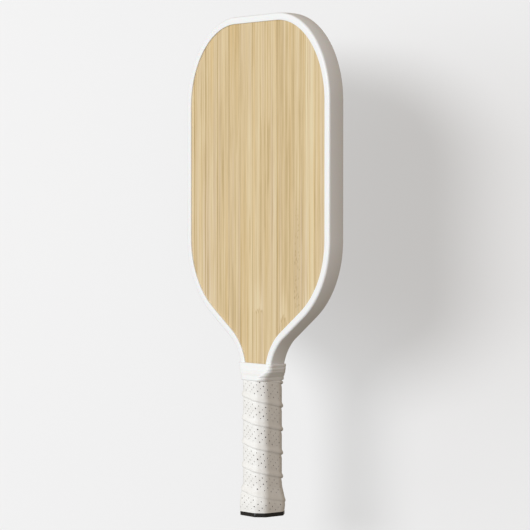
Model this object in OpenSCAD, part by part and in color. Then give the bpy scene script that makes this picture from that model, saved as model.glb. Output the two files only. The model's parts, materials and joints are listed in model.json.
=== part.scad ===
// Pickleball paddle: honeycomb head with printed face films, moulded edge guard,
// octagonal handle, wrapped grip, ribbed neck collar and butt cap.
// Frame: +Z runs from the butt end to the top of the head, the front face looks along -Y,
// and the origin is the centre of the butt end. Sizes are in millimetres.

/* [Head outline] */
// Overall length, from the butt end to the top of the head
paddle_length = 419; // [410:1:431]
// Width of the head across the edge guard
head_width = 190.5; // [186:0.5:200]
// Half width that each top corner takes up
corner_width = 68; // [55:1:80]
// Height that each top corner takes up
corner_height = 75; // [60:1:90]
// Height at which the straight sides end and the shoulders begin
shoulder_start = 231.5; // [226:0.5:240]
// Radius of the shoulders
shoulder_radius = 78; // [74:1:82]
// Slope of the flanks below the shoulders, from vertical, in degrees
flank_angle = 55; // [52:1:58]
// Radius of the hollow where the flanks meet the neck
neck_radius = 40; // [36:1:44]
// Narrowest width of the neck across the edge guard
neck_width = 37.6; // [36:0.2:39]

/* [Head layers] */
// Thickness across both lips of the edge guard
guard_thickness = 16; // [13:0.5:18]
// Thickness of each lip of the edge guard
lip_thickness = 1.2; // [0.6:0.1:1.2]
// Width of each lip, from the outer edge inwards
lip_width = 6.3; // [4.5:0.1:7]
// Thickness of the edge guard's web
web_thickness = 1.5; // [1:0.1:2]
// Thickness of the bonding tape between the panel's edge and the web
bond_thickness = 0.3; // [0.2:0.1:0.5]
// Thickness of each printed film
film_thickness = 0.1; // [0.1:0.05:0.3]
// Thickness of each fibreglass skin
skin_thickness = 0.5; // [0.3:0.1:0.8]
// Thickness of each veil between the skin and the honeycomb
veil_thickness = 0.15; // [0.1:0.05:0.3]
// Width of a honeycomb cell across its flats
cell_width = 10; // [8:0.5:14]
// Thickness of a honeycomb cell wall
cell_wall = 0.4; // [0.3:0.1:0.8]
// Thickness of the sealed rim round the honeycomb
core_rim = 1; // [0.8:0.1:2]

/* [Handle] */
// Width of the bare handle across its side flats
handle_width = 26; // [25:0.2:28]
// Depth of the bare handle across its front and back flats
handle_depth = 25.4; // [25:0.2:28]
// Corner cut of the bare handle
handle_corner = 5.35; // [4.5:0.05:6]
// Height at which the handle starts to slope down to the head
slope_start = 116.4; // [114:0.1:117]
// Height at which the slope meets the head
slope_end = 125; // [125:0.1:128]

/* [Grip and collar] */
// Thickness of the cushioning layer of the grip tape
cushion_thickness = 1.2; // [0.8:0.1:1.4]
// Thickness of the perforated cover of the grip tape
wrap_thickness = 0.6; // [0.4:0.1:0.8]
// Height of the grip's top end, under the collar
grip_top = 116; // [115.5:0.1:116.2]
// Height of the collar's lower edge
collar_bottom = 113.6; // [113:0.1:114]
// Height of the collar's upper edge
collar_top = 127.8; // [127:0.1:129]
// Wall thickness of the collar between its ribs
collar_wall = 0.8; // [0.8:0.1:1.2]
// Number of ribs round the collar
rib_count = 5; // [3:1:7]
// Height that the ribs stand out from the collar
rib_height = 0.4; // [0.2:0.05:0.6]

/* [Butt cap] */
// Width and depth of the butt cap's flange
flange_width = 32.6; // [31:0.2:34]
// Corner cut of the flange
flange_corner = 6.8; // [5:0.1:8]
// Thickness of the flange
flange_thickness = 3.4; // [2:0.1:3.4]
// Height of the butt cap's skirt
skirt_top = 25; // [20:1:30]
// Diameter of the badge in the end of the butt cap
badge_diameter = 19; // [14:1:21]

/* [Hidden] */

eps = 0.01;
arc_step = 4.5;                     // degrees between points on a corner

// Places of the layers through the panel, from the middle outwards
panel_thickness = guard_thickness - 2 * lip_thickness;
film_y = panel_thickness / 2;
skin_y = film_y - film_thickness;
veil_y = skin_y - skin_thickness;
core_y = veil_y - veil_thickness;

// Outline of the head: centres of its arcs
head_half = head_width / 2;
neck_half = neck_width / 2;
flank_top = [
    head_half - shoulder_radius * (1 - cos(flank_angle)),
    shoulder_start - shoulder_radius * sin(flank_angle)
];
flank_bottom_x = neck_half + neck_radius * (1 - cos(flank_angle));
flank_run = (flank_top.x - flank_bottom_x) / sin(flank_angle);
neck_z = flank_top.y - flank_run * cos(flank_angle) - neck_radius * sin(flank_angle);

guard_end = 121;                    // the edge guard stops here, inside the collar
panel_inset = web_thickness + bond_thickness;
tenon_inset = 1;                    // the handle's end is this much smaller, to sit in the cap
handle_bottom = 4;                  // the handle rests on the butt cap's floor here
socket_clearance = 0.05;            // between the handle's end and the butt cap's socket
skirt_gap = 0.05;                   // between the butt cap's skirt and the grip
grip_bottom = flange_thickness + 0.1;
offset_corner = 2 - sqrt(2);        // growth of a corner cut per unit of outward offset

badge_depth = 0.8;                  // recess for the badge in the cap's end
badge_thickness = 0.6;
badge_clearance = 0.2;

// Half of the outline, from the top centre down the +X side to the neck, moved in by an inset
function corner_point(t, inset) =
    let (n = [cos(t) / corner_width, sin(t) / corner_height])
    [head_half - corner_width, paddle_length - corner_height]
    + [corner_width * cos(t), corner_height * sin(t)] - inset * n / norm(n);
function shoulder_point(t, inset) =
    [head_half - shoulder_radius, shoulder_start] + (shoulder_radius - inset) * [cos(t), -sin(t)];
function neck_point(t, inset) =
    [neck_half + neck_radius, neck_z] + (neck_radius + inset) * [-cos(t), sin(t)];
neck_end_angle = asin((guard_end - neck_z) / neck_radius);
function half_outline(inset) = [
    for (t = [90:-arc_step:0]) corner_point(t, inset),
    for (i = [0:14]) shoulder_point(flank_angle * i / 14, inset),
    for (i = [0:9]) neck_point(flank_angle + (neck_end_angle - flank_angle) * i / 9, inset)
];
function mirrored(points) = [for (i = [len(points) - 1:-1:0]) [-points[i].x, points[i].y]];

// The whole panel: head, neck and the tang inside the handle. The tang clears the handle's cut corners
tang_half = handle_width / 2 - 0.25;
function panel_half(inset, edge = 0) = [
    each half_outline(inset + edge),
    [tang_half - edge, slope_start],
    [tang_half - edge, skirt_top + edge],
    [tang_half - tenon_inset - edge, skirt_top + edge],
    [tang_half - tenon_inset - edge, handle_bottom + edge]
];
function panel_outline(inset, edge = 0) =
    let (right = panel_half(inset, edge)) concat(right, mirrored(right));

// A plate in the X-Z plane, from y to y + thickness
module plate(y, thickness) {
    translate([0, y + thickness, 0]) rotate([90, 0, 0]) linear_extrude(thickness) children();
}

// One ring of an octagon's corners, each rounded with three points
function octagon_ring(half_w, half_d, corner, z) =
    let (
        v = [
            [half_w, half_d - corner], [half_w - corner, half_d],
            [corner - half_w, half_d], [-half_w, half_d - corner],
            [-half_w, corner - half_d], [corner - half_w, -half_d],
            [half_w - corner, -half_d], [half_w, corner - half_d]
        ],
        soft = min(corner, half_w, half_d) * 0.16
    )
    [
        for (i = [0:7])
            let (
                here = v[i],
                before = here + soft * (v[(i + 7) % 8] - here) / norm(v[(i + 7) % 8] - here),
                after = here + soft * (v[(i + 1) % 8] - here) / norm(v[(i + 1) % 8] - here)
            )
            each [[each before, z], [each (before + 2 * here + after) / 4, z], [each after, z]]
    ];

// A closed tube through rings: up the outside, then down the inside
module ring_tube(rings) {
    n = len(rings[0]);
    m = len(rings);
    polyhedron(
        points = [for (ring = rings) each ring],
        faces = [
            for (i = [0:m - 1], j = [0:n - 1])
                let (a = i * n, b = ((i + 1) % m) * n, k = (j + 1) % n)
                [a + j, b + j, b + k, a + k]
        ]
    );
}

// A solid through rings, with flat ends
module ring_solid(rings) {
    n = len(rings[0]);
    m = len(rings);
    polyhedron(
        points = [for (ring = rings) each ring],
        faces = [
            [for (j = [0:n - 1]) j],
            [for (j = [n - 1:-1:0]) (m - 1) * n + j],
            for (i = [0:m - 2], j = [0:n - 1])
                let (a = i * n, b = (i + 1) * n, k = (j + 1) % n)
                [a + j, b + j, b + k, a + k]
        ]
    );
}

// Surface under the grip at a height, over the flared skirt and the bare handle:
// [half width, half depth, corner cut]
skirt_belly = 9.6;                  // height of the flare's widest part
skirt_waist = 17;                   // height at which the flare has almost run out
foot = flange_width / 2 - cushion_thickness - wrap_thickness;
belly = foot + 0.6;
waist = foot - 0.2;
function under_grip(z) = [
    for (top = [handle_width / 2, handle_depth / 2])
        lookup(z, [[grip_bottom, foot], [skirt_belly, belly], [skirt_waist, waist], [skirt_top, top]]),
    lookup(z, [[grip_bottom, flange_corner - 1], [skirt_top, handle_corner]])
];
// The grip is pinched where the collar squeezes it
pinch = 0.45;                       // share of its thickness that is left
pinch_start = collar_bottom - 1.2;
pinch_end = collar_bottom - 0.1;
function grip_squeeze(z) = lookup(z, [[pinch_start, 1], [pinch_end, pinch]]);
function grip_ring(z, thickness) =
    let (h = under_grip(z), t = thickness * grip_squeeze(z))
    octagon_ring(h[0] + t, h[1] + t, h[2] + t * offset_corner, z);
skirt_levels = [6, skirt_belly, 13, skirt_waist, 21, skirt_top];
grip_levels = [grip_bottom, each skirt_levels, 40, 60, 80, 100, pinch_start, pinch_end, grip_top];
module grip_layer(inner, outer) {
    top = len(grip_levels) - 1;
    ring_tube([
        for (i = [0:top]) grip_ring(grip_levels[i], outer),
        for (i = [top:-1:0]) grip_ring(grip_levels[i], inner)
    ]);
}

// Inside of the collar, from the grip's octagon to the flat neck, moved outwards by out
collar_gap = 0.1;
collar_step = 120.8;                // the collar is wide enough for the edge guard from here up
finishing_thickness = 0.13;
finishing_room = finishing_thickness + 0.02;
collar_growth = pinch * (cushion_thickness + wrap_thickness) + finishing_room + collar_gap;
collar_low = [handle_width / 2 + collar_growth, handle_depth / 2 + collar_growth, handle_corner + 0.6];
collar_middle = [neck_half + 0.7, 10, 3.4];
collar_high = [neck_half + 1.7, guard_thickness / 2 + collar_gap, 0.8];
function collar_ring(z, out) =
    let (s = [for (i = [0:2]) lookup(z, [
        [slope_start, collar_low[i]], [collar_step, collar_middle[i]], [collar_top, collar_high[i]]
    ])])
    octagon_ring(s[0] + out, s[1] + out, s[2] + out * offset_corner, z);
rib_pitch = (collar_top - collar_bottom) / rib_count;
collar_levels = [for (i = [0:2 * rib_count]) collar_bottom + i * rib_pitch / 2];

// Wire staples. Each is a crown with two legs that point along +Y from y = 0
staple_crown = 10;
staple_leg = 5;
staple_wire = 0.6;
staple_sink = 0.15;                 // the crowns sit this far under the surface
staple_room = 0.05;                 // clearance round a staple in its seat
module staple(room = 0) {
    wire = staple_wire + 2 * room;
    crown = staple_crown + 2 * room;
    front = room > 0 ? 1 : 0;       // a seat for a staple is open to the surface
    translate([-crown / 2, -front, -wire / 2]) cube([crown, staple_wire + room + front, wire]);
    for (side = [-1, 1])
        translate([side * (staple_crown - staple_wire) / 2 - wire / 2, 0, -wire / 2])
            cube([wire, staple_leg + room, wire]);
}
// Four staples hold the cap: two through its front flat and two through its back flat
module cap_staple_places(room = 0) {
    for (turn = [0, 180], z = [14, 21])
        rotate([0, 0, turn]) translate([0, staple_sink - under_grip(z)[1], z]) staple(room);
}
// One staple holds the grip tape's first end, low on the cap's back flat
start_staple_z = 8;
module start_staple_place(room = 0) {
    rotate([0, 0, 180]) translate([0, staple_sink - under_grip(start_staple_z)[1], start_staple_z])
        staple(room);
}

module honeycomb_core() {
    pitch = cell_width;
    row = pitch * sqrt(3) / 2;
    cell_r = (cell_width - cell_wall) / sqrt(3);
    rows = ceil(paddle_length / row);
    // half width that the cells have to fill at a height
    function reach(z) = cell_width + lookup(z, [
        [neck_z, neck_half], [flank_top.y, flank_top.x], [shoulder_start, head_half]
    ]);
    color("gainsboro") plate(-core_y, 2 * core_y) difference() {
        polygon(panel_outline(panel_inset));
        intersection() {
            polygon(panel_outline(panel_inset, core_rim));
            for (j = [0:rows])
                let (columns = ceil(reach(j * row) / pitch))
                    for (i = [-columns:columns])
                        translate([(i + (j % 2) / 2) * pitch, j * row])
                            rotate(30) circle(r = cell_r, $fn = 6);
        }
    }
}

module veil(side) {
    color("whitesmoke") plate(side < 0 ? -veil_y : core_y, veil_thickness)
        polygon(panel_outline(panel_inset));
}

module skin(side) {
    color("wheat") plate(side < 0 ? -skin_y : veil_y, skin_thickness)
        polygon(panel_outline(panel_inset));
}

module printed_film(side) {
    color("burlywood") plate(side < 0 ? -film_y : skin_y, film_thickness)
        polygon(panel_outline(panel_inset));
}

// A strip round the panel's edge, from the neck over the top and back
module edge_bonding_tape() {
    outer = half_outline(web_thickness);
    inner = half_outline(panel_inset);
    color("ivory") plate(-film_y, panel_thickness) polygon(concat(
        outer,
        [for (i = [len(inner) - 1:-1:0]) inner[i]],
        [for (p = inner) [-p.x, p.y]],
        mirrored(outer)
    ));
}

// U-shaped profile, as [inset from the outline, y], swept round the head
lip_y = guard_thickness / 2;
guard_round = 2;                    // radius of the guard's outer corners
guard_bevel = 0.4;                  // bevel of each lip's inner edge
guard_side = [
    for (t = [0:30:90]) [guard_round * (1 - cos(t)), lip_y - guard_round * (1 - sin(t))],
    [lip_width - guard_bevel, lip_y],
    [lip_width, lip_y - guard_bevel],
    [lip_width, film_y],
    [web_thickness, film_y]
];
guard_profile = concat(
    guard_side,
    [for (i = [len(guard_side) - 1:-1:0]) [guard_side[i].x, -guard_side[i].y]]
);
module edge_guard() {
    // each run goes round the head from the -X end of the guard to the +X end
    runs = [for (q = guard_profile) let (h = half_outline(q.x)) concat(mirrored(h), h)];
    n = len(guard_profile);
    m = len(runs[0]);
    color("white") polyhedron(
        points = [for (i = [0:m - 1], j = [0:n - 1]) [runs[j][i].x, guard_profile[j].y, runs[j][i].y]],
        faces = [
            [for (j = [n - 1:-1:0]) j],
            [for (j = [0:n - 1]) (m - 1) * n + j],
            for (i = [0:m - 2], j = [0:n - 1])
                let (a = i * n, b = (i + 1) * n, k = (j + 1) % n)
                [a + k, b + k, b + j, a + j]
        ]
    );
}

// Cross-section of the bare handle, moved inwards by inset
module handle_section(inset = 0) {
    ring = octagon_ring(handle_width / 2 - inset, handle_depth / 2 - inset,
                        handle_corner - inset * offset_corner, 0);
    polygon([for (p = ring) [p.x, p.y]]);
}
// Half of the octagonal handle, glued on one side of the tang
lip_clear = min(handle_width / 2, neck_half - lip_width - 0.1);
module handle_pallet(side) {
    half_d = handle_depth / 2;
    color("tan") difference() {
        union() {
            translate([0, 0, skirt_top]) linear_extrude(slope_end - skirt_top) handle_section();
            translate([0, 0, handle_bottom])
                linear_extrude(skirt_top - handle_bottom) handle_section(tenon_inset);
        }
        // leaves only this side of the panel
        translate([-handle_width, side < 0 ? -film_y : -2 * half_d, 0])
            cube([2 * handle_width, 2 * half_d + film_y, paddle_length]);
        // slope from the full depth down to the panel
        rotate([90, 0, 90]) linear_extrude(2 * handle_width, center = true) polygon([
            [side * half_d, slope_start], [side * film_y, slope_end], [side * film_y, slope_end + 1],
            [side * (half_d + 1), slope_end + 1], [side * (half_d + 1), slope_start]
        ]);
        // clears the edge guard's lips
        for (x = [-handle_width, lip_clear])
            translate([x, -handle_depth, guard_end])
                cube([handle_width - lip_clear, 2 * handle_depth, paddle_length]);
        cap_staple_places(staple_room);
        start_staple_place(staple_room);
    }
}

module butt_cap() {
    flange = flange_width / 2;
    bevel = 0.6;
    color("#1c1c1e") difference() {
        union() {
            ring_solid([
                octagon_ring(flange - bevel, flange - bevel, flange_corner - bevel * offset_corner, 0),
                octagon_ring(flange, flange, flange_corner, bevel),
                octagon_ring(flange, flange, flange_corner, flange_thickness)
            ]);
            ring_solid([
                for (z = [flange_thickness - eps, each skirt_levels])
                    let (h = under_grip(z)) octagon_ring(h[0] - skirt_gap, h[1] - skirt_gap, h[2], z)
            ]);
        }
        translate([0, 0, handle_bottom])
            linear_extrude(skirt_top) handle_section(tenon_inset - socket_clearance);
        translate([0, 0, -eps])
            cylinder(d = badge_diameter + 2 * badge_clearance, h = badge_depth + eps, $fn = 64);
        cap_staple_places(staple_room);
        start_staple_place(staple_room);
    }
}

module butt_cap_staples() {
    color("silver") cap_staple_places();
}

module grip_start_staple() {
    color("silver") start_staple_place();
}

module butt_badge() {
    color("#2c2c2e") translate([0, 0, badge_depth - badge_thickness])
        cylinder(d = badge_diameter, h = badge_thickness, $fn = 64);
}

module grip_cushion() {
    color("darkgray") grip_layer(0, cushion_thickness);
}

module grip_wrap() {
    color("white") grip_layer(cushion_thickness, cushion_thickness + wrap_thickness);
}

// Thin tape over the grip's top end, under the collar
module finishing_tape() {
    levels = [collar_bottom + 0.4, slope_start, guard_end - 1];
    color("ghostwhite") ring_tube([
        for (z = levels) collar_ring(z, -collar_gap),
        for (i = [len(levels) - 1:-1:0]) collar_ring(levels[i], -collar_gap - finishing_thickness)
    ]);
}

module neck_collar() {
    top = len(collar_levels) - 1;
    color("white") ring_tube([
        for (i = [0:top]) collar_ring(collar_levels[i], collar_wall + (i % 2) * rib_height),
        for (i = [top:-1:0]) collar_ring(collar_levels[i], 0)
    ]);
}

honeycomb_core();
veil(-1);  // front_veil
veil(1);  // back_veil
skin(-1);  // front_skin
skin(1);  // back_skin
printed_film(-1);  // front_printed_film
printed_film(1);  // back_printed_film
edge_bonding_tape();
edge_guard();
handle_pallet(-1);  // front_handle_pallet
handle_pallet(1);  // back_handle_pallet
butt_cap();
butt_cap_staples();
butt_badge();
grip_cushion();
grip_wrap();
grip_start_staple();
finishing_tape();
neck_collar();
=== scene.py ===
"""Pickleball paddle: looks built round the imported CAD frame.

Metres. +Z runs up the paddle and -Y out of its front face.
"""
import json
import math
from functools import lru_cache

import bpy
import bmesh
import numpy as np
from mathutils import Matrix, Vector


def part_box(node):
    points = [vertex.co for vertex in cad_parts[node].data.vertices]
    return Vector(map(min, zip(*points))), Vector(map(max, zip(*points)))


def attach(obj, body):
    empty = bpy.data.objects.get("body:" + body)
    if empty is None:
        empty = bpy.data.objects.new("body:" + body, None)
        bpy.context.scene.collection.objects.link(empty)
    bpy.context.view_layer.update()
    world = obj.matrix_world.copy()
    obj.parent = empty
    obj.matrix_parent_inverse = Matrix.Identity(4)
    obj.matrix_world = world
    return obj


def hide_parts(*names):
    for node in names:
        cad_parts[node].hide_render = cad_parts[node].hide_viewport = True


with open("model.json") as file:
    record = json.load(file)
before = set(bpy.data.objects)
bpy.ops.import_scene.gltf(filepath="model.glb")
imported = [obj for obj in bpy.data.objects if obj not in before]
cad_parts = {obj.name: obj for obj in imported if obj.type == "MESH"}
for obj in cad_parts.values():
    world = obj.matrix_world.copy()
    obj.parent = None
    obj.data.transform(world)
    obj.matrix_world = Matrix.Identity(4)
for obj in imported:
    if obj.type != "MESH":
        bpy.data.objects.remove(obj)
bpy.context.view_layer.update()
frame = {"nodes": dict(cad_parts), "record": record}

MM = 0.001
BODY = "root"

# ---------------------------------------------------------------- places and sizes from the frame
guard_lo, guard_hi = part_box("edge_guard")
film_lo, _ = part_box("front_printed_film")
_, cap_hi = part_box("butt_cap")
grip_lo, grip_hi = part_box("grip_wrap")
collar_lo, collar_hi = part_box("neck_collar")
badge_lo, badge_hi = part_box("butt_badge")

length = guard_hi.z
head_half = guard_hi.x
guard_half_thick = guard_hi.y
guard_end = guard_lo.z
film_face = -film_lo.y

# Outline of the head, as in the frame
corner_width, corner_height = 68 * MM, 75 * MM
shoulder_start, shoulder_radius = 231.5 * MM, 78 * MM
flank_angle = math.radians(55)
neck_half, neck_radius = 18.8 * MM, 40 * MM

# Handle under the grip, as in the frame
handle_half_w, handle_half_d, handle_cut = 13 * MM, 12.7 * MM, 5.35 * MM
flange_half, flange_cut, flange_top = cap_hi.x, 6.8 * MM, 3.4 * MM
skirt_top = cap_hi.z
tape_thickness = 1.8 * MM
flare_foot = flange_half - tape_thickness
flare_belly = flare_foot + 0.6 * MM
flare_waist = flare_foot - 0.2 * MM
belly_z, waist_z = 9.6 * MM, 17 * MM


# ---------------------------------------------------------------- small tools
def srgb(r, g, b):
    """Linear colour from 0..255 display values."""
    def one(c):
        c = c / 255
        return c / 12.92 if c <= 0.04045 else ((c + 0.055) / 1.055) ** 2.4
    return (one(r), one(g), one(b), 1.0)


def ease(x, a, b):
    """0 below a, 1 above b, smooth between."""
    t = min(1.0, max(0.0, (x - a) / (b - a)))
    return t * t * (3 - 2 * t)


def lerp_table(x, pairs):
    return float(np.interp(x, [p[0] for p in pairs], [p[1] for p in pairs]))


def add_piece(name, verts, faces, material, node=None, sharp=32):
    """A closed mesh that rides on the paddle and may stand for a CAD node."""
    mesh = bpy.data.meshes.new(name)
    mesh.from_pydata([tuple(v) for v in verts], [], faces)
    bm = bmesh.new()
    bm.from_mesh(mesh)
    bmesh.ops.recalc_face_normals(bm, faces=bm.faces)
    bm.to_mesh(mesh)
    bm.free()
    for poly in mesh.polygons:
        poly.use_smooth = True
    mesh.set_sharp_from_angle(angle=math.radians(sharp))
    mesh.materials.append(material)
    piece = bpy.data.objects.new(name, mesh)
    bpy.context.scene.collection.objects.link(piece)
    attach(piece, BODY)
    if node:
        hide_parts(node)
    return piece


def loft_faces(rows, columns, closed_rows=False, closed_columns=True):
    """Quads between rows of equal length, numbered row by row."""
    faces = []
    for i in range(rows if closed_rows else rows - 1):
        for j in range(columns if closed_columns else columns - 1):
            a, b = i * columns, ((i + 1) % rows) * columns
            k = (j + 1) % columns
            faces.append((a + j, a + k, b + k, b + j))
    return faces


# ---------------------------------------------------------------- materials
DARK_SLATS = (-2.0, 2.0)            # slats that stand out darker in the photograph
PALE_SLAT = 4.0                     # a slat that stands out paler
STRAW = [                           # straw colours by grain, -3 to 5
    (0.06, srgb(228, 211, 173)), (0.17, srgb(225, 204, 164)), (0.29, srgb(220, 197, 155)),
    (0.375, srgb(216, 192, 149)), (0.46, srgb(211, 187, 142)), (0.58, srgb(203, 178, 133)),
    (0.66, srgb(196, 171, 124)), (0.90, srgb(168, 138, 92)),
]


class Graph:
    """Short names for the shader nodes used here."""

    def __init__(self, name):
        self.material = bpy.data.materials.new(name)
        self.material.use_nodes = True
        self.tree = self.material.node_tree
        self.shader = self.tree.nodes["Principled BSDF"]
        self.place = self.node("ShaderNodeTexCoord").outputs["Object"]

    def node(self, kind, **props):
        made = self.tree.nodes.new(kind)
        for key, value in props.items():
            setattr(made, key, value)
        return made

    def feed(self, socket, value):
        if isinstance(value, bpy.types.NodeSocket):
            self.tree.links.new(value, socket)
        else:
            socket.default_value = value

    def math(self, operation, a, b=0.0, c=0.0, clamp=False):
        n = self.node("ShaderNodeMath", operation=operation, use_clamp=clamp)
        for socket, value in zip(n.inputs, (a, b, c)):
            self.feed(socket, value)
        return n.outputs[0]

    def split(self, vector):
        n = self.node("ShaderNodeSeparateXYZ")
        self.feed(n.inputs[0], vector)
        return n.outputs

    def join(self, x, y, z):
        n = self.node("ShaderNodeCombineXYZ")
        for socket, value in zip(n.inputs, (x, y, z)):
            self.feed(socket, value)
        return n.outputs[0]

    def stretch(self, vector, scale):
        n = self.node("ShaderNodeVectorMath", operation="MULTIPLY")
        self.feed(n.inputs[0], vector)
        n.inputs[1].default_value = scale
        return n.outputs[0]

    def noise(self, vector, scale=1.0, detail=2.0, roughness=0.5):
        n = self.node("ShaderNodeTexNoise")
        self.feed(n.inputs["Vector"], vector)
        n.inputs["Scale"].default_value = scale
        n.inputs["Detail"].default_value = detail
        n.inputs["Roughness"].default_value = roughness
        return n.outputs["Fac"]

    def cells(self, vector, scale=1.0, randomness=1.0):
        n = self.node("ShaderNodeTexVoronoi", feature="F1")
        self.feed(n.inputs["Vector"], vector)
        n.inputs["Scale"].default_value = scale
        n.inputs["Randomness"].default_value = randomness
        return n.outputs["Distance"]

    def random(self, value):
        n = self.node("ShaderNodeTexWhiteNoise", noise_dimensions="1D")
        self.feed(n.inputs["W"], value)
        return n.outputs["Value"]

    def ranged(self, value, low, high, to_low=0.0, to_high=1.0, smooth=True):
        n = self.node("ShaderNodeMapRange", interpolation_type="SMOOTHSTEP" if smooth else "LINEAR")
        for socket, v in zip(n.inputs, (value, low, high, to_low, to_high)):
            self.feed(socket, v)
        return n.outputs[0]

    def ramp(self, value, stops):
        n = self.node("ShaderNodeValToRGB")
        self.feed(n.inputs[0], value)
        ramp = n.color_ramp
        while len(ramp.elements) < len(stops):
            ramp.elements.new(0.5)
        for element, (position, colour) in zip(ramp.elements, stops):
            element.position = position
            element.color = colour
        return n.outputs[0]

    def blend(self, kind, factor, a, b):
        n = self.node("ShaderNodeMix", data_type="RGBA", blend_type=kind)
        self.feed(n.inputs["Factor"], factor)
        self.feed(n.inputs[6], a)
        self.feed(n.inputs[7], b)
        return n.outputs[2]

    def bump(self, height, strength, distance):
        n = self.node("ShaderNodeBump")
        n.inputs["Strength"].default_value = strength
        n.inputs["Distance"].default_value = distance
        self.feed(n.inputs["Height"], height)
        self.feed(self.shader.inputs["Normal"], n.outputs[0])

    def set(self, **values):
        for key, value in values.items():
            self.feed(self.shader.inputs[key.replace("_", " ")], value)
        return self


def moulded_plastic(name, colour, spread, roughness, grain=0.012 * MM, grain_size=0.35 * MM, **extra):
    """Satin plastic: faint uneven tone, uneven gloss and a fine moulded grain."""
    g = Graph(name)
    cloud = g.noise(g.place, 45, 3, 0.6)
    low = tuple(c * (1 - spread) for c in colour[:3]) + (1.0,)
    g.set(Base_Color=g.ramp(cloud, [(0.3, low), (0.7, colour)]))
    g.set(Roughness=g.ranged(g.noise(g.place, 260, 4, 0.6), 0.25, 0.75, roughness - 0.05, roughness + 0.06))
    g.bump(g.noise(g.place, 1 / grain_size, 2, 0.6), 0.35, grain)
    return g.set(**extra)


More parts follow.
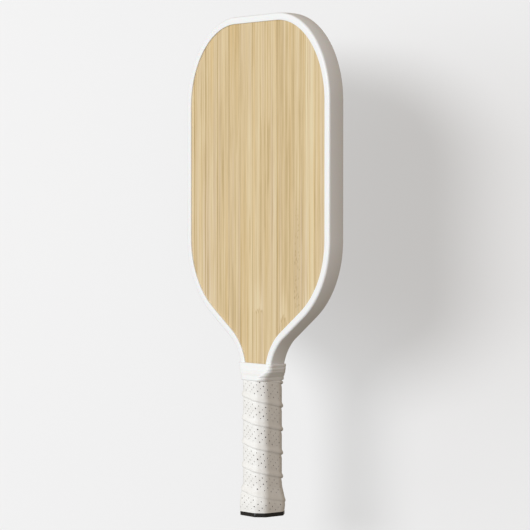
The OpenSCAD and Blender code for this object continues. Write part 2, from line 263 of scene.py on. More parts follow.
def bamboo_print():
    """Satin film printed with edge-glued bamboo: slats, fibres, glue lines, knuckles and flecks.

    Everything darkens or lightens one value, grain, which a ramp turns into straw colours.
    """
    slat_width, joint_at = 16.1 * MM, -5.2 * MM
    flecked_slat, knuckle_z = 3.0, 172 * MM
    g = Graph("bamboo_print")
    x, y, z = g.split(g.place)
    across = g.math("MULTIPLY_ADD", g.math("GREATER_THAN", y, 0.0), 731 * MM, x)
    uneven = g.math("MULTIPLY_ADD", g.noise(g.join(across, 0.0, 0.0), 34, 1), 2 * MM, -1 * MM)
    slat_at = g.math("DIVIDE", g.math("SUBTRACT", g.math("ADD", across, uneven), joint_at), slat_width)
    slat = g.math("FLOOR", slat_at)
    inside = g.math("FRACT", slat_at)

    def along(per_metre, z_per_metre, seed, detail=2, roughness=0.5):
        """Noise drawn out along Z, centred on 0."""
        flat = g.join(g.math("MULTIPLY", across, per_metre), seed, g.math("MULTIPLY", z, z_per_metre))
        return g.math("SUBTRACT", g.noise(flat, 1.0, detail, roughness), 0.5)

    def total(*terms):
        """Sum of (value, weight) pairs."""
        out = 0.0
        for value, weight in terms:
            out = g.math("MULTIPLY_ADD", value, weight, out)
        return out

    # each slat has its own tone, and is denser at one edge
    tone = g.ranged(g.random(g.math("ADD", slat, 1.5)), 0.0, 1.0, 0.35, 0.7, False)
    for dark in DARK_SLATS:
        tone = g.math("MULTIPLY_ADD", g.math("COMPARE", slat, dark, 0.1), -0.35, tone)
    tone = g.math("MULTIPLY_ADD", g.math("COMPARE", slat, PALE_SLAT, 0.1), 0.4, tone)
    dense = g.random(g.math("ADD", slat, 12.6))
    slope = g.math("MULTIPLY", g.math("SUBTRACT", 0.5, inside), g.ranged(dense, 0.0, 1.0, 0.4, 2.4, False))
    # fibres
    bands = along(150.0, 1.5, slat)
    fibres = along(420.0, 3.0, g.math("ADD", slat, 0.3), 2, 0.6)
    streaks = along(760.0, 5.0, 5.0, 2, 0.6)
    hairs = along(1500.0, 26.0, 8.0, 3, 0.7)

    def seams(per_metre, seed, thin):
        """Thin lines that come and go along the slats."""
        crossing = g.math("ABSOLUTE", along(per_metre, 2.5, seed, 1))
        here = g.ranged(along(90.0, 9.0, seed + 7.0), -0.03, 0.10)
        return g.math("MULTIPLY", g.ranged(crossing, thin, thin * 0.3), here)

    dark_seams = seams(330.0, 31.0, 0.045)
    pale_seams = seams(300.0, 51.0, 0.045)
    # glue line at the left edge of each slat
    joint = g.random(g.math("ADD", slat, 5.5))
    line = g.math("MULTIPLY", g.ranged(inside, 0.085, 0.02), g.ranged(joint, 0.0, 0.6, 0.45, 1.0))
    grain = total((slope, 0.8), (bands, 3.0), (fibres, 6.0), (streaks, 8.5), (hairs, 6.5),
                  (dark_seams, 1.7), (pale_seams, -1.1), (line, 2.2), (tone, -1.9))
    grain = g.math("ADD", grain, 0.80)
    # knuckles: a short dark arc with a paler flame over it, in a few slats
    knuckled = g.math("MAXIMUM", g.math("COMPARE", slat, 0.0, 0.1), g.math("COMPARE", slat, 2.0, 0.1))
    knuckled = g.math("MAXIMUM", knuckled, g.math("GREATER_THAN", g.random(g.math("ADD", slat, 41.7)), 0.85))
    centre = g.math("MULTIPLY_ADD", g.math("SINE", g.math("MULTIPLY", slat, 1.9)), 7 * MM, knuckle_z)
    flamed = g.math("COMPARE", slat, 2.0, 0.1)
    bend = g.math("POWER", g.math("ABSOLUTE", g.math("SUBTRACT", inside, 0.55)), 2.0)
    arch = g.math("MULTIPLY", bend, g.math("MULTIPLY_ADD", flamed, 70 * MM, 10 * MM))
    above = total((z, 1.0), (centre, -1.0), (arch, 1.0), (streaks, 16 * MM))
    mark = g.math("MULTIPLY", g.ranged(g.math("ABSOLUTE", above), 1.3 * MM, 0.4 * MM), knuckled)
    mark = g.math("MULTIPLY", mark, g.ranged(along(500.0, 0.0, 77.0), -0.08, 0.06))
    middle = g.ranged(g.math("ABSOLUTE", g.math("SUBTRACT", inside, 0.55)), 0.5, 0.15)
    flame = g.math("MULTIPLY", g.ranged(above, -1 * MM, 3 * MM), g.ranged(above, 30 * MM, 6 * MM))
    flame = g.math("MULTIPLY", g.math("MULTIPLY", flame, knuckled), middle)
    grain = total((grain, 1.0), (g.math("MULTIPLY", mark, middle), 3.4), (flame, -1.7))
    # flecks: dark dashes crowded low down in one slat, a few anywhere
    dash = g.cells(g.join(g.math("MULTIPLY", across, 700.0), 0.0, g.math("MULTIPLY", z, 230.0)))
    low_down = g.math("MULTIPLY", g.ranged(z, 285 * MM, 215 * MM), g.ranged(z, 150 * MM, 185 * MM))
    this_slat = g.math("COMPARE", slat, flecked_slat, 0.5)
    mid_slat = g.ranged(g.math("ABSOLUTE", g.math("SUBTRACT", inside, 0.62)), 0.3, 0.1)
    crowd = g.math("MULTIPLY", g.math("MULTIPLY", this_slat, low_down), mid_slat)
    reach = g.math("MULTIPLY_ADD", crowd, 0.42, 0.055)
    fleck = g.ranged(dash, reach, g.math("MULTIPLY", reach, 0.45))
    grain = total((grain, 1.0), (fleck, 3.4))
    straw = g.ramp(g.ranged(grain, -3.0, 5.0, smooth=False), STRAW)
    # drifts of hue: pinkish here, greenish there
    hue = along(170.0, 3.0, g.math("ADD", slat, 20.0))
    straw = g.blend("MULTIPLY", g.ranged(hue, 0.02, 0.18), straw, (1.0, 0.955, 0.86, 1))
    straw = g.blend("MULTIPLY", g.ranged(hue, -0.02, -0.18), straw, (0.99, 0.995, 1.09, 1))
    straw = g.blend("MIX", g.math("MULTIPLY", crowd, 0.35), straw, srgb(190, 168, 136))
    g.set(Base_Color=straw, Roughness=g.ranged(fibres, -0.2, 0.2, 0.48, 0.58))
    g.set(Specular_IOR_Level=0.3)
    peel = g.noise(g.place, 2600, 2, 0.5)
    g.bump(total((fibres, 0.6), (peel, 0.4)), 0.2, 0.02 * MM)
    return g.material


def grip_leather():
    """White polyurethane: pebbled grain with fine creases, and painted shade in the valleys between the
    pebbles.
    """
    g = Graph("grip_cover")
    cloud = g.noise(g.place, 120, 4, 0.6)
    pebble = g.cells(g.place, 2300)
    crease = g.noise(g.place, 900, 4, 0.65)
    tone = g.ramp(cloud, [(0.3, srgb(240, 238, 234)), (0.7, srgb(248, 247, 244))])
    # painted shade: the tone is darkened in the valleys between pebbles, where the bump sinks
    tone = g.blend("MULTIPLY", g.ranged(pebble, 0.55, 0.95, 0.0, 0.12), tone, (0.80, 0.78, 0.75, 1))
    g.set(Base_Color=tone, Roughness=g.ranged(crease, 0.3, 0.7, 0.46, 0.6))
    g.set(Specular_IOR_Level=0.4, Sheen_Weight=0.08, Sheen_Roughness=0.5)
    wrinkle = g.noise(g.stretch(g.place, (70, 70, 520)), 1.0, 3, 0.6)
    fine = g.math("ADD", g.math("MULTIPLY", pebble, -0.5), crease)
    g.bump(g.math("MULTIPLY_ADD", wrinkle, 3.0, fine), 0.5, 0.07 * MM)
    return g.material


def foam(name, colour, scale):
    """Closed-cell foam: small bubbles."""
    g = Graph(name)
    bubble = g.cells(g.place, scale)
    dark = tuple(c * 0.6 for c in colour[:3]) + (1.0,)
    g.set(Base_Color=g.ramp(bubble, [(0.1, dark), (0.6, colour)]), Roughness=0.9)
    g.bump(bubble, 0.6, 0.1 * MM)
    return g.material


def woven(name, colour, pitch, roughness):
    """Fine cloth or glass weave."""
    g = Graph(name)
    x, y, z = g.split(g.place)
    warp = g.math("SINE", g.math("MULTIPLY", x, 2 * math.pi / pitch))
    weft = g.math("SINE", g.math("MULTIPLY", z, 2 * math.pi / pitch))
    cross = g.math("MULTIPLY", warp, weft)
    dark = tuple(c * 0.85 for c in colour[:3]) + (1.0,)
    g.set(Base_Color=g.ramp(g.ranged(cross, -1.0, 1.0), [(0.2, dark), (0.8, colour)]), Roughness=roughness)
    g.bump(cross, 0.4, 0.05 * MM)
    return g.material


def wire():
    g = Graph("staple_wire")
    lines = g.noise(g.stretch(g.place, (90, 2600, 2600)), 1.0, 3)
    steel = g.ramp(lines, [(0.3, (0.45, 0.45, 0.46, 1)), (0.7, (0.68, 0.68, 0.70, 1))])
    g.set(Base_Color=steel, Metallic=1.0)
    g.set(Roughness=g.ranged(lines, 0.3, 0.7, 0.28, 0.42))
    return g.material


guard_white = moulded_plastic("edge_guard", srgb(247, 247, 247), 0.012, 0.42,
                              Subsurface_Weight=0.06, Subsurface_Scale=0.002).material
collar_white = moulded_plastic("collar", srgb(246, 246, 245), 0.015, 0.5,
                               Subsurface_Weight=0.05, Subsurface_Scale=0.002).material
cap_black = moulded_plastic("butt_cap", (0.008, 0.0078, 0.0076, 1), 0.15, 0.32, grain=0.02 * MM).material
badge_black = moulded_plastic("badge", (0.022, 0.022, 0.022, 1), 0.12, 0.25).material
tape_white = grip_leather()
# grip foam, seen only through the tape's holes: partly its own grey, partly painted shade, darkened so the
# holes look shaded
foam_darkened_for_hole_shade = foam("grip_foam", srgb(92, 88, 86), 3200)

cad_looks = {
    "bamboo_print": bamboo_print(),
    "honeycomb": moulded_plastic("honeycomb", srgb(226, 230, 228), 0.04, 0.45,
                                 Transmission_Weight=0.15).material,
    "veil": woven("veil", srgb(235, 235, 230), 0.5 * MM, 0.9),
    "fibreglass": woven("fibreglass", srgb(222, 214, 186), 1.2 * MM, 0.25),
    "bonding_tape": woven("bonding_tape", srgb(240, 238, 226), 0.8 * MM, 0.7),
    "handle_foam": foam("handle_foam", srgb(222, 204, 168), 1400),
    "staple_wire": wire(),
    "finishing_tape": moulded_plastic("finishing_tape", srgb(242, 242, 242), 0.02, 0.3).material,
    "edge_guard": guard_white, "collar": collar_white, "butt_cap": cap_black, "badge": badge_black,
    "grip_cover": tape_white, "grip_foam": foam_darkened_for_hole_shade,
}
for part in frame["record"]["subparts"]:
    node_mesh = frame["nodes"][part["node"]].data
    node_mesh.materials.clear()
    node_mesh.materials.append(cad_looks[part["material_slot"]])


# ---------------------------------------------------------------- edge guard
def outline_stations():
    """Points round the head with outward normals, from the -X end of the guard to the +X end."""
    top_x, corner_z = head_half - corner_width, length - corner_height
    shoulder_x = head_half - shoulder_radius
    low_x = shoulder_x + shoulder_radius * math.cos(flank_angle)
    low_z = shoulder_start - shoulder_radius * math.sin(flank_angle)
    neck_x = neck_half + neck_radius
    hollow_x = neck_x - neck_radius * math.cos(flank_angle)
    hollow_z = low_z - (low_x - hollow_x) / math.tan(flank_angle)
    neck_z = hollow_z - neck_radius * math.sin(flank_angle)
    end_angle = math.asin((guard_end - neck_z) / neck_radius)
    right = [(top_x * i / 4, length, 0.0, 1.0) for i in range(4)]
    for i in range(41):
        t = math.pi / 2 * (1 - i / 40)
        n = Vector((math.cos(t) / corner_width, math.sin(t) / corner_height)).normalized()
        right.append((top_x + corner_width * math.cos(t), corner_z + corner_height * math.sin(t), n.x, n.y))
    for i in range(1, 8):
        right.append((head_half, corner_z + (shoulder_start - corner_z) * i / 8, 1.0, 0.0))
    for i in range(31):
        t = flank_angle * i / 30
        c, s = math.cos(t), math.sin(t)
        right.append((shoulder_x + shoulder_radius * c, shoulder_start - shoulder_radius * s, c, -s))
    flank_normal = (math.cos(flank_angle), -math.sin(flank_angle))
    for i in range(1, 6):
        right.append((low_x + (hollow_x - low_x) * i / 6, low_z + (hollow_z - low_z) * i / 6, *flank_normal))
    for i in range(25):
        t = flank_angle + (end_angle - flank_angle) * i / 24
        c, s = math.cos(t), math.sin(t)
        right.append((neck_x - neck_radius * c, neck_z + neck_radius * s, c, -s))
    left = [(-x, z, -nx, nz) for x, z, nx, nz in reversed(right[1:])]
    return left + right


def guard_profile():
    """U section as (inset, y): crowned outside, rounded corners, soft lip edges."""
    half, lip, web = guard_half_thick, 6.3 * MM, 1.5 * MM
    crown, outer_round, inner_round = 0.3 * MM, 1.9 * MM, 0.45 * MM
    flat = half - outer_round
    side = [(crown * (i / 8) ** 2, flat * i / 8) for i in range(8)]
    for i in range(9):
        t = math.pi / 2 * i / 8
        side.append((crown + outer_round * (1 - math.cos(t)), flat + outer_round * math.sin(t)))
    side.append(((crown + outer_round + lip - inner_round) / 2, half + 0.0))
    for i in range(6):
        t = math.pi / 2 * i / 5
        side.append((lip - inner_round * (1 - math.sin(t)), half - inner_round * (1 - math.cos(t))))
    side += [(lip, film_face), (web, film_face)]
    return side + [(i, -y) for i, y in reversed(side[1:])]


def make_edge_guard():
    stations, profile = outline_stations(), guard_profile()
    verts = [(x - inset * nx, y, z - inset * nz) for x, z, nx, nz in stations for inset, y in profile]
    n, m = len(profile), len(stations)
    faces = loft_faces(m, n)
    faces += [tuple(range(n)), tuple(reversed(range((m - 1) * n, m * n)))]
    add_piece("edge_guard_moulding", verts, faces, guard_white, "edge_guard", sharp=40)


# ---------------------------------------------------------------- octagonal sections
def rounded_octagon(half_w, half_d, cut, rounding, count=None):
    """Octagon with rounded corners as [(x, y, nx, ny)], anticlockwise from the middle of its +X side.
    With a count, that many points are spread evenly round it."""
    reach = [half_w, (half_w + half_d - cut) / math.sqrt(2), half_d] * 3
    reach = [reach[(0, 1, 2, 1)[k % 4]] - rounding for k in range(9)]
    points = [(half_w, 0.0, 1.0, 0.0)]
    for k in range(8):
        a, b = math.radians(45 * k), math.radians(45 * (k + 1))
        det = math.sin(b - a)
        cx = (reach[k] * math.sin(b) - reach[k + 1] * math.sin(a)) / det
        cy = (reach[k + 1] * math.cos(a) - reach[k] * math.cos(b)) / det
        for j in range(7):
            t = a + (b - a) * j / 6
            nx, ny = math.cos(t), math.sin(t)
            points.append((cx + rounding * nx, cy + rounding * ny, nx, ny))
    points.append(points[0])
    if not count:
        return points
    table = np.array(points)
    run = np.concatenate([[0], np.cumsum(np.hypot(*np.diff(table[:, :2], axis=0).T))])
    at = np.arange(count) / count * run[-1]
    return [tuple(row) for row in np.stack([np.interp(at, run, table[:, c]) for c in range(4)], 1)]


def handle_size(z):
    """Half width, half depth and corner cut of the handle and the cap's skirt under the grip."""
    flare = [(flange_top, flare_foot), (belly_z, flare_belly), (waist_z, flare_waist)]
    return (
        lerp_table(z, flare + [(skirt_top, handle_half_w)]),
        lerp_table(z, flare + [(skirt_top, handle_half_d)]),
        lerp_table(z, [(flange_top, flange_cut - 1 * MM), (skirt_top, handle_cut)]),
    )


TURN_STEPS = 120                    # points round one turn of the grip


@lru_cache(maxsize=None)
def handle_ring(z_key):
    """Even points round the handle at a height in tenths of a millimetre. The flare is eased into a curve."""
    z = z_key * 0.1 * MM
    soft = 2.2 * MM
    sizes = np.mean([handle_size(z + d) for d in (-soft, -soft / 2, 0, soft / 2, soft)], axis=0)
    return rounded_octagon(*sizes, 5.5 * MM, TURN_STEPS * 2)


def on_handle(step, z, offset):
    """Point over the handle. step counts TURN_STEPS round a turn and may be half a step or any fraction."""
    ring = handle_ring(int(round(z / (0.1 * MM))))
    place = (step * 2) % len(ring)
    i = int(place)
    f = place - i
    a, b = ring[i], ring[(i + 1) % len(ring)]
    x, y, nx, ny = (a[c] * (1 - f) + b[c] * f for c in range(4))
    size = math.hypot(nx, ny)
    return (x + offset * nx / size, y + offset * ny / size, z)


# ---------------------------------------------------------------- grip tape
TAPE_PITCH = 19.8 * MM              # rise of one turn
EDGE_Z = 100.2 * MM                 # height of a turn's lower edge on the camera's left
EDGE_STEP = TURN_STEPS * (231 / 360)
TAPE_BOTTOM = grip_lo.z
TAPE_TOP = grip_hi.z
COVER = 0.6 * MM
RIDGE = 1.15 * MM
HOLE_RADIUS = 0.5 * MM              # about the middle of the holes' sizes
GRIP_MARGIN = 2.6 * MM              # part of each turn that the next one hides
FINE = 0.85 * MM
# distances above a turn's lower edge
TAPE_ROWS = [d * MM for d in (0.0, -0.06, 0.15, 0.45, 0.85, 1.3, 2.1, 3.0, 3.9)]
TAPE_ROWS += [4.8 * MM + FINE * i for i in range(16)]
TAPE_ROWS += [TAPE_PITCH + d * MM for d in (-0.7, -0.1, 0.6, 1.5, 2.6)]
# first row of a hole's block, and its stagger in steps
HOLE_ROWS = [(10, 0), (13, 4), (16, 1), (19, 5), (22, 2)]
HOLE_EVERY = 7                      # steps; TURN_STEPS is no multiple of it, so the turns differ


def edge_height(step):
    """Height of the tape's lower edge; it falls as the tape goes round anticlockwise."""
    return EDGE_Z - TAPE_PITCH * (step - EDGE_STEP) / TURN_STEPS


def pinched(z):
    """The collar squeezes the top of the grip."""
    return 1 - 0.5 * ease(z, collar_lo.z - 2.0 * MM, collar_lo.z + 0.3 * MM)


def tape_height(s, z):
    """Outer surface of the tape over the handle, by distance above the turn's lower edge."""
    low = 1 - 0.55 * ease(z, 24 * MM, 15 * MM)
    if s <= 0:
        return tape_thickness + (0.05 * MM if s == 0 else 0.3 * MM * low)
    rise = 0.35 + 0.65 * math.sin(math.pi / 2 * min(1.0, s / (1.3 * MM)))
    roll = RIDGE * low * rise * (1 - ease(s, 1.5 * MM, 4.8 * MM))
    tuck = 0.45 * MM * low * ease(s, TAPE_PITCH - 3.4 * MM, TAPE_PITCH - 0.2 * MM)
    return tape_thickness + roll - tuck


def build_tape(rows, with_holes, outer_drop, thickness):
    """Shell of the wound tape: an outer and an inner sheet with the same layout, joined round every edge."""
    turns_up = (TAPE_TOP - EDGE_Z) / TAPE_PITCH + 1
    first = int(EDGE_STEP - turns_up * TURN_STEPS) - 10
    last = int(EDGE_STEP + (EDGE_Z + TAPE_PITCH + GRIP_MARGIN) / TAPE_PITCH * TURN_STEPS) + 10
    verts_out, verts_in, index, faces = [], [], {}, []

    def vertex(step, s):
        key = (round(step, 4), round(s / MM, 4))
        if key not in index:
            z = min(TAPE_TOP, max(TAPE_BOTTOM, edge_height(step) + s))
            outer = (tape_height(s, z) - outer_drop) * pinched(z)
            inner = max(0.05 * MM, outer - thickness * pinched(z))
            if s <= 0:
                inner = outer - 0.3 * MM
            index[key] = len(verts_out)
            verts_out.append(on_handle(step, z, outer))
            verts_in.append(on_handle(step, z, inner))
        return index[key]

    def height(step, s):
        return edge_height(step) + s

    def shown(step, r):
        low = min(height(step, rows[r]), height(step + 1, rows[r]))
        high = max(height(step, rows[r + 1]), height(step + 1, rows[r + 1]))
        return high > TAPE_BOTTOM + 0.02 * MM and low < TAPE_TOP - 0.02 * MM

    def clear(step, r):
        low, high = height(step + 2, rows[r]), height(step, rows[r + 2])
        return low > TAPE_BOTTOM + 0.4 * MM and high < TAPE_TOP - 0.4 * MM

    skip = set()
    if with_holes:
        for r, stagger in HOLE_ROWS:
            for step in range(first, last - 2):
                if (step + stagger) % HOLE_EVERY or not clear(step, r):
                    continue
                skip |= {(step + i, r + j) for i in (0, 1) for j in (0, 1)}
                ring = [(0, 0), (1, 0), (2, 0), (2, 1), (2, 2), (1, 2), (0, 2), (0, 1)]
                edge = [vertex(step + i, rows[r + j]) for i, j in ring]
                s_mid = rows[r + 1]
                step_size = 0.875 * MM
                radius = HOLE_RADIUS * (0.95 + 0.2 * math.sin(2.3 * step + r))
                rim = []
                for k in range(16):
                    t = math.radians(225 + 22.5 * k)
                    rim.append(vertex(step + 1 + radius * math.cos(t) / step_size,
                                      s_mid + radius * math.sin(t)))
                for k in range(8):
                    faces.append((edge[k], edge[(k + 1) % 8],
                                  rim[(2 * k + 2) % 16], rim[2 * k + 1], rim[2 * k]))
    for step in range(first, last):
        for r in range(len(rows) - 1):
            if (step, r) in skip or not shown(step, r):
                continue
            faces.append((vertex(step, rows[r]), vertex(step + 1, rows[r]),
                          vertex(step + 1, rows[r + 1]), vertex(step, rows[r + 1])))
    n = len(verts_out)
    uses = {}
    for face in faces:
        for a, b in zip(face, face[1:] + face[:1]):
            uses[(a, b)] = uses.get((a, b), 0) + 1
    rims = [(b, a, a + n, b + n) for a, b in uses if (b, a) not in uses]
    inner_faces = [tuple(i + n for i in reversed(face)) for face in faces]
    return verts_out + verts_in, faces + inner_faces + rims


def make_grip():
    verts, faces = build_tape(TAPE_ROWS, True, 0.0, COVER)
    add_piece("grip_cover_tape", verts, faces, tape_white, "grip_wrap", sharp=50)
    foam_rows = [s for s in TAPE_ROWS if 3.0 * MM < s < TAPE_PITCH - 1.0 * MM]
    verts, faces = build_tape(foam_rows, False, COVER + 0.03 * MM, 1.0 * MM)
    add_piece("grip_foam_tape", verts, faces, foam_darkened_for_hole_shade, "grip_cushion", sharp=50)


# ---------------------------------------------------------------- neck collar
COLLAR_LOW_Z, COLLAR_STEP_Z = 116.4 * MM, 120.8 * MM
COLLAR_LOW = (handle_half_w + 1.06 * MM, handle_half_d + 1.06 * MM, handle_cut + 0.6 * MM)
COLLAR_MIDDLE = (neck_half + 0.7 * MM, 10 * MM, 3.4 * MM)
COLLAR_HIGH = (neck_half + 1.7 * MM, guard_half_thick + 0.1 * MM, 0.8 * MM)
COLLAR_WALL = 0.8 * MM
RIBS = 5
RIB_HEIGHT = 0.45 * MM


def collar_section(z):
    return tuple(
        lerp_table(z, [(COLLAR_LOW_Z, a), (COLLAR_STEP_Z, b), (collar_hi.z, c)])
        for a, b, c in zip(COLLAR_LOW, COLLAR_MIDDLE, COLLAR_HIGH)
    )


def collar_outside(z):
    """Smooth outer section without ribs. Its corners are squarer than the opening's."""
    near = [collar_section(z + d * MM) for d in (-2, -1, 0, 1, 2)]
    width, depth, _ = np.mean(near, axis=0)
    return (width, depth, lerp_table(z, [(COLLAR_LOW_Z, 4.0 * MM), (collar_hi.z, 0.8 * MM)]))


def make_collar():
    count, levels = 120, 96
    pitch = (collar_hi.z - collar_lo.z) / RIBS
    rows = []

    def add_row(size, offset, z, rounding, rib=0.0):
        """The ribs are fuller on the narrow sides."""
        row = []
        for x, y, nx, ny in rounded_octagon(*size, rounding, count):
            out = offset + rib * (0.4 + 0.6 * nx * nx)
            row.append((x + out * nx, y + out * ny, z))
        rows.append(row)

    for i in range(levels + 1):
        z = collar_lo.z + (collar_hi.z - collar_lo.z) * i / levels
        phase = (collar_hi.z - z) / pitch
        rib = abs(math.sin(math.pi * phase)) ** 0.8
        ends = min(1.0, min(i, levels - i) / 3)
        offset = COLLAR_WALL * (0.55 + 0.45 * math.sin(math.pi / 2 * ends))
        rounding = lerp_table(z, [(COLLAR_LOW_Z, 6 * MM), (COLLAR_STEP_Z, 4.4 * MM), (collar_hi.z, 1.2 * MM)])
        add_row(collar_outside(z), offset, z, rounding, RIB_HEIGHT * rib * ends)
    for i in range(12, -1, -1):
        z = collar_lo.z + (collar_hi.z - collar_lo.z) * i / 12
        add_row(collar_section(z), 0.0, z, 0.3 * MM)
    verts = [v for row in rows for v in row]
    faces = loft_faces(len(rows), count, closed_rows=True)
    add_piece("ribbed_neck_collar", verts, faces, collar_white, "neck_collar", sharp=50)


# ---------------------------------------------------------------- butt cap and badge
def make_cap():
    count = 128
    recess_radius = badge_hi.x + 0.2 * MM
    recess_depth = badge_hi.z
    edge = 0.8 * MM
    socket = (handle_half_w - 0.95 * MM, handle_half_d - 0.95 * MM, handle_cut - 0.55 * MM)
    rows = []

    def circle(radius, z):
        # the same spacing as the octagon rings, so the faces don't twist
        ring = rounded_octagon(flange_half, flange_half, flange_cut, 1.2 * MM, count)
        rows.append([
            (radius * x / math.hypot(x, y), radius * y / math.hypot(x, y), z) for x, y, _, _ in ring
        ])

    def octagon(size, offset, z, rounding=1.2 * MM):
        ring = rounded_octagon(*size, rounding, count)
        rows.append([(x + offset * nx, y + offset * ny, z) for x, y, nx, ny in ring])

    flange = (flange_half, flange_half, flange_cut)
    circle(0.3 * MM, recess_depth)
    circle(recess_radius, recess_depth)
    circle(recess_radius, 0.12 * MM)
    circle(recess_radius + 0.12 * MM, 0.0)
    for i in range(7):
        t = math.pi / 2 * i / 6
        octagon(flange, -edge * (1 - math.sin(t)), edge * (1 - math.cos(t)))
    top_round = 0.35 * MM
    for i in range(5):
        t = math.pi / 2 * i / 4
        octagon(flange, -top_round * (1 - math.cos(t)), flange_top - top_round * (1 - math.sin(t)))
    for i in range(19):
        z = flange_top + (skirt_top - flange_top) * i / 18
        w, d, cut = handle_size(z)
        octagon((w - 0.05 * MM, d - 0.05 * MM, cut), 0.0, z)
    octagon(socket, 0.0, skirt_top, 0.8 * MM)
    octagon(socket, 0.0, 4 * MM, 0.8 * MM)
    circle(0.3 * MM, 4 * MM)
    verts = [v for row in rows for v in row]
    faces = loft_faces(len(rows), count)
    faces += [tuple(range(count)), tuple(reversed(range(len(verts) - count, len(verts))))]
    add_piece("moulded_butt_cap", verts, faces, cap_black, "butt_cap", sharp=30)


def make_badge():
    """Plain disc with a raised ring, turned round Z."""
    radius, low, high = badge_hi.x, badge_lo.z, badge_hi.z
    ring, groove = 0.12 * MM, 0.1 * MM
    profile = [
        (0.2 * MM, low + groove), (radius * 0.55, low + groove), (radius * 0.58, low + ring * 0.2),
        (radius * 0.62, low), (radius * 0.66, low + ring * 0.2), (radius * 0.69, low + groove),
        (radius * 0.90, low + groove), (radius * 0.93, low),
        (radius - 0.1 * MM, low), (radius, low + 0.1 * MM),
        (radius, high), (0.2 * MM, high),
    ]
    count = 96
    verts = [
        (r * math.cos(2 * math.pi * j / count), r * math.sin(2 * math.pi * j / count), z)
        for r, z in profile for j in range(count)
    ]
    faces = loft_faces(len(profile), count)
    faces += [tuple(range(count)), tuple(reversed(range(len(verts) - count, len(verts))))]
    add_piece("ringed_butt_badge", verts, faces, badge_black, "butt_badge")


make_edge_guard()
make_grip()
make_collar()
make_cap()
make_badge()


# ---------------------------------------------------------------- camera, backdrop and light
VIEW_ANGLE = math.radians(51)
VIEW_RISE = math.radians(1.43)
VIEW_DISTANCE = 1.904
towards_camera = Vector((math.sin(VIEW_ANGLE), -math.cos(VIEW_ANGLE), 0))
image_right = Vector((math.cos(VIEW_ANGLE), math.sin(VIEW_ANGLE), 0))
up = Vector((0, 0, 1))


def make_camera():
    camera = bpy.data.objects.new("camera", bpy.data.cameras.new("camera"))
    camera.data.sensor_width = 36
    camera.data.lens = 154.25
    aim = up * length / 2 + image_right * 2.1 * MM + up * 0.4 * MM
    back = towards_camera * math.cos(VIEW_RISE) + up * math.sin(VIEW_RISE)
    camera.location = aim + back * VIEW_DISTANCE
    camera.rotation_euler = (-back).to_track_quat("-Z", "Y").to_euler()
    bpy.context.scene.collection.objects.link(camera)
    bpy.context.scene.camera = camera


def pale_backdrop_material():
    """Matt pale paper with a little light of its own. Seen from behind it is clear, so it never
    hides the paddle."""
    g = Graph("backdrop")
    g.set(Base_Color=(0.35, 0.35, 0.35, 1), Roughness=0.9, Specular_IOR_Level=0.1)
    g.set(Emission_Color=WALL_GLOW, Emission_Strength=WALL_LIGHT)
    output = g.tree.nodes["Material Output"]
    mix = g.node("ShaderNodeMixShader")
    g.feed(mix.inputs[0], g.node("ShaderNodeNewGeometry").outputs["Backfacing"])
    g.feed(mix.inputs[1], g.shader.outputs[0])
    g.feed(mix.inputs[2], g.node("ShaderNodeBsdfTransparent").outputs[0])
    g.feed(output.inputs["Surface"], mix.outputs[0])
    return g.material


WALL_GLOW = (0.975, 0.985, 1.0, 1)
WALL_LIGHT = 0.445
WALL_GAP = 150 * MM                 # paddle's axis to the wall
FLOOR_DROP = 0.35                   # the paddle hangs clear of the floor, as in the photograph


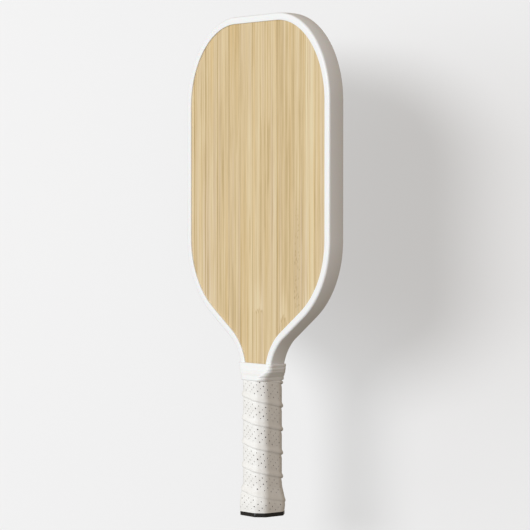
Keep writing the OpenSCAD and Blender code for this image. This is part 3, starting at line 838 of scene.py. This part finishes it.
def make_backdrop():
    """Pale floor that curves up into a wall behind the paddle."""
    bend, reach, height, half_width = 0.12, 9.0, 5.0, 9.0
    curve = [(reach, -FLOOR_DROP), (1.0, -FLOOR_DROP), (bend - WALL_GAP, -FLOOR_DROP)]
    for i in range(1, 17):
        t = math.pi / 2 * i / 16
        curve.append((bend * (1 - math.sin(t)) - WALL_GAP, bend * (1 - math.cos(t)) - FLOOR_DROP))
    curve += [(-WALL_GAP, 1.0), (-WALL_GAP, height)]
    verts = []
    for side in (-half_width, half_width):
        verts += [tuple(image_right * side + towards_camera * d + up * z) for d, z in curve]
    n = len(curve)
    mesh = bpy.data.meshes.new("backdrop")
    mesh.from_pydata(verts, [], [(i, i + n, i + n + 1, i + 1) for i in range(n - 1)])
    for poly in mesh.polygons:
        poly.use_smooth = True
    mesh.materials.append(pale_backdrop_material())
    backdrop = bpy.data.objects.new("backdrop", mesh)
    backdrop.visible_diffuse = False
    backdrop.visible_glossy = False
    bpy.context.scene.collection.objects.link(backdrop)
    return backdrop


def soft_lamp(name, left, rise, spread, power, colour=(1, 1, 1), only=None):
    """Round lamp 6 m away, so many degrees to the camera's left and up, and so many degrees wide."""
    distance = 6.0
    left, rise = math.radians(left), math.radians(rise)
    level = towards_camera * math.cos(left) - image_right * math.sin(left)
    direction = level * math.cos(rise) + up * math.sin(rise)
    light = bpy.data.lights.new(name, "AREA")
    light.shape = "DISK"
    light.size = 2 * distance * math.tan(math.radians(spread / 2))
    light.energy = power
    light.color = colour
    lamp = bpy.data.objects.new(name, light)
    lamp.location = up * length * 0.55 + direction * distance
    lamp.rotation_euler = (-direction).to_track_quat("-Z", "Y").to_euler()
    bpy.context.scene.collection.objects.link(lamp)
    if only:
        lit = bpy.data.collections.new(name + "_lights")
        lit.objects.link(only)
        lamp.light_linking.receiver_collection = lit


def make_lights(wall):
    """Key and side lamps light the paddle and backdrop. wall_key lights only the backdrop, and deepens
    the shadow on it."""
    soft_lamp("key", 30, 12.7, 18, 75, (0.90, 0.92, 1.0))
    soft_lamp("side", 56, 8, 36, 242, (0.87, 0.945, 1.0))
    soft_lamp("wall_key", 30, 12.7, 18, 212, only=wall)
    world = bpy.data.worlds.new("studio")
    bpy.context.scene.world = world
    world.use_nodes = True
    nodes, links = world.node_tree.nodes, world.node_tree.links
    background = nodes["Background"]
    background.inputs["Color"].default_value = (1.0, 0.871, 0.729, 1)
    place = nodes.new("ShaderNodeTexCoord")
    parts = nodes.new("ShaderNodeSeparateXYZ")
    brightness = nodes.new("ShaderNodeMapRange")        # dimmer towards the floor
    brightness.inputs["From Min"].default_value = -1
    brightness.inputs["To Min"].default_value = 0.22
    brightness.inputs["To Max"].default_value = 0.46
    links.new(place.outputs["Generated"], parts.inputs[0])
    links.new(parts.outputs["Z"], brightness.inputs["Value"])
    links.new(brightness.outputs[0], background.inputs["Strength"])


make_camera()
make_lights(make_backdrop())
bpy.context.scene.view_settings.view_transform = "Standard"
